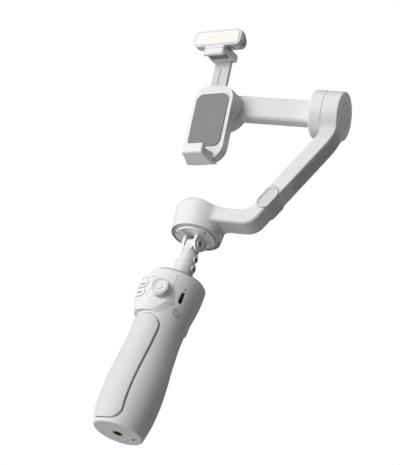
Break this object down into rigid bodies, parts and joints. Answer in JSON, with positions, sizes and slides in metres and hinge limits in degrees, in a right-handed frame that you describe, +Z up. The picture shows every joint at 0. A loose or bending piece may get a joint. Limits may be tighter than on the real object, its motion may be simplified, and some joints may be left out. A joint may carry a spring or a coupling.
{
  "type": "gimbal stabilizer",
  "caption": "Handheld phone gimbal: round grip with joystick, telescopic rod, folding head, three-axis motors on an S-shaped arm, spring clamp and a small fill light.",
  "frame": {"origin": "mouth of the tripod thread, in the centre of the handle's base", "axes": "+Z up the handle's axis, -Y the side with the joystick and the buttons, +X the side that the arm leans to"},
  "size_m": [0.1102, 0.0962, 0.3217],
  "materials": {
    "shell": "matte",
    "grip": "matte",
    "arm": "matte",
    "inlay": "satin",
    "white": "gloss",
    "light_grey": "matte",
    "dark": "matte",
    "copper": "polished",
    "brass": "machined",
    "steel": "satin",
    "alloy": "satin",
    "magnet": "satin",
    "winding": "satin",
    "board": "satin",
    "battery": "satin",
    "lens": "gloss",
    "red": "gloss",
    "pad": "matte",
    "diffuser": "satin"
  },
  "bodies": {
    "handle": {"front_shell": "shell", "rear_shell": "shell", "grip_pad": "grip", "base_cap": "shell", "tripod_insert": "brass", "chassis": "light_grey", "top_plate": "light_grey", "battery_cells": "battery", "main_board": "board", "usb_port": "steel", "status_lights": "lens", "joystick_cup": "light_grey"},
    "stick_ring": {"joystick_cross": "light_grey"},
    "stick": {"joystick": "shell"},
    "mode_key": {"mode_button": "shell"},
    "record_key": {"record_button": "shell", "record_bar": "red"},
    "power_key": {"power_button": "copper"},
    "rear_trigger": {"trigger": "shell"},
    "rod_1": {"rod_tube_1": "white", "rod_screw_1": "steel"},
    "rod_2": {"rod_tube_2": "white", "rod_screw_2": "steel"},
    "rod_3": {"rod_tube_3": "white", "rod_head": "white"},
    "head": {"pan_base": "white", "fold_pin": "steel", "pan_bearings": "steel", "pan_stator": "winding"},
    "pan_arm": {"lower_arm": "arm", "pan_trim_ring": "copper", "pan_magnets": "magnet", "pan_shaft": "steel", "knuckle": "light_grey", "knuckle_cap": "light_grey", "arm_pin": "steel"},
    "side_arm": {"upper_arm": "arm", "arm_inlay": "inlay", "tilt_plate": "alloy", "tilt_stator": "winding", "tilt_bearings": "steel"},
    "bracket": {"tilt_housing": "arm", "tilt_magnets": "magnet", "tilt_shaft": "steel", "roll_bracket": "arm", "roll_stator": "winding", "roll_bearings": "steel"},
    "clamp": {"roll_housing": "arm", "roll_magnets": "magnet", "roll_shaft": "steel", "clamp_body": "arm", "clamp_pads": "pad", "lower_jaw": "arm"},
    "jaw": {"upper_jaw": "arm", "upper_pad": "pad", "jaw_slider": "light_grey"},
    "light": {"light_housing": "light_grey", "light_diffuser": "diffuser", "led_board": "board", "light_contacts": "steel"}
  },
  "joints": [
    {"name": "stick_up_down", "type": "hinge", "parent": "handle", "child": "stick_ring", "pos_m": [0.00573, -0.01419, 0.1067], "axis": [0.9272, 0.3746, 0], "range_deg": [-10, 10], "stiffness_Nm_per_rad": 0.02},
    {"name": "stick_sideways", "type": "hinge", "parent": "stick_ring", "child": "stick", "pos_m": [0.00573, -0.01419, 0.1067], "axis": [0, 0, 1], "range_deg": [-10, 10], "stiffness_Nm_per_rad": 0.02},
    {"name": "mode_press", "type": "slide", "parent": "handle", "child": "mode_key", "axis": [0.2419, 0.9703, 0], "range_m": [0, 0.0007], "stiffness_N_per_m": 400},
    {"name": "record_press", "type": "slide", "parent": "handle", "child": "record_key", "axis": [0.2419, 0.9703, 0], "range_m": [0, 0.0007], "stiffness_N_per_m": 400},
    {"name": "power_press", "type": "slide", "parent": "handle", "child": "power_key", "axis": [-0.9205, 0.3907, 0], "range_m": [0, 0.0005], "stiffness_N_per_m": 600},
    {"name": "trigger_press", "type": "slide", "parent": "handle", "child": "rear_trigger", "axis": [0, -1, 0], "range_m": [0, 0.0015], "stiffness_N_per_m": 300},
    {"name": "rod_extend_1", "type": "slide", "parent": "handle", "child": "rod_1", "axis": [0, 0, 1], "range_m": [0, 0.07]},
    {"name": "rod_extend_2", "type": "slide", "parent": "rod_1", "child": "rod_2", "axis": [0, 0, 1], "range_m": [0, 0.07]},
    {"name": "rod_extend_3", "type": "slide", "parent": "rod_2", "child": "rod_3", "axis": [0, 0, 1], "range_m": [0, 0.07]},
    {"name": "head_fold", "type": "hinge", "parent": "rod_3", "child": "head", "pos_m": [0, 0, 0.1575], "axis": [1, 0, 0], "range_deg": [-75, 0]},
    {"name": "pan", "type": "hinge", "parent": "head", "child": "pan_arm", "pos_m": [-0.00057, -0.0001, 0.16397], "axis": [-0.0875, -0.0154, 0.996], "range_deg": [-160, 160]},
    {"name": "arm_fold", "type": "hinge", "parent": "pan_arm", "child": "side_arm", "pos_m": [0.04802, 0.0138, 0.20334], "axis": [0.3738, -0.9273, 0.0185], "range_deg": [0, 20]},
    {"name": "tilt", "type": "hinge", "parent": "side_arm", "child": "bracket", "pos_m": [0.06218, 0.02109, 0.28287], "axis": [0.9234, 0.3739, 0.087], "range_deg": [-105, 80]},
    {"name": "roll", "type": "hinge", "parent": "bracket", "child": "clamp", "pos_m": [-0.01038, -0.013, 0.27141], "axis": [0.1848, -0.9714, -0.1489], "range_deg": [-120, 120]},
    {"name": "jaw_travel", "type": "slide", "parent": "clamp", "child": "jaw", "axis": [-0.0606, -0.1625, 0.9848], "range_m": [-0.02, 0.006]},
    {"name": "light_lift", "type": "slide", "parent": "jaw", "child": "light", "axis": [-0.0606, -0.1625, 0.9848], "range_m": [0, 0.02]}
  ]
}
